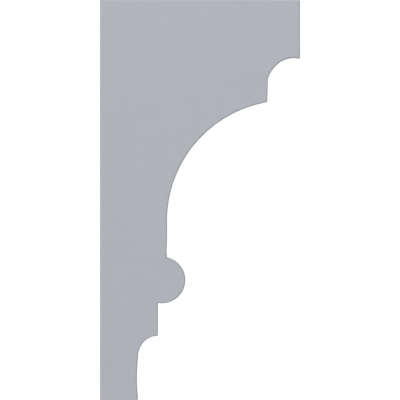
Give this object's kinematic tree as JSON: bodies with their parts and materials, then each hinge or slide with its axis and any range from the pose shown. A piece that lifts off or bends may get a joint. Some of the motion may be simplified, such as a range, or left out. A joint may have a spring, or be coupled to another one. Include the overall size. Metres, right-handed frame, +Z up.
{
  "type": "polyurethane bracket",
  "caption": "Smooth moulded bracket, square above and stepped down through coves and a bead to a slim foot, fixed to a wall under an eave, beam or shelf.",
  "frame": {"origin": "centre of the flat back that lies against the wall", "axes": "+X out from the wall, +Y across the width, +Z up"},
  "size_m": [0.3048, 0.1016, 0.6096],
  "materials": {
    "primed_urethane": "matte sprayed primer"
  },
  "bodies": {
    "root": {"bracket": "primed_urethane"}
  },
  "joints": []
}
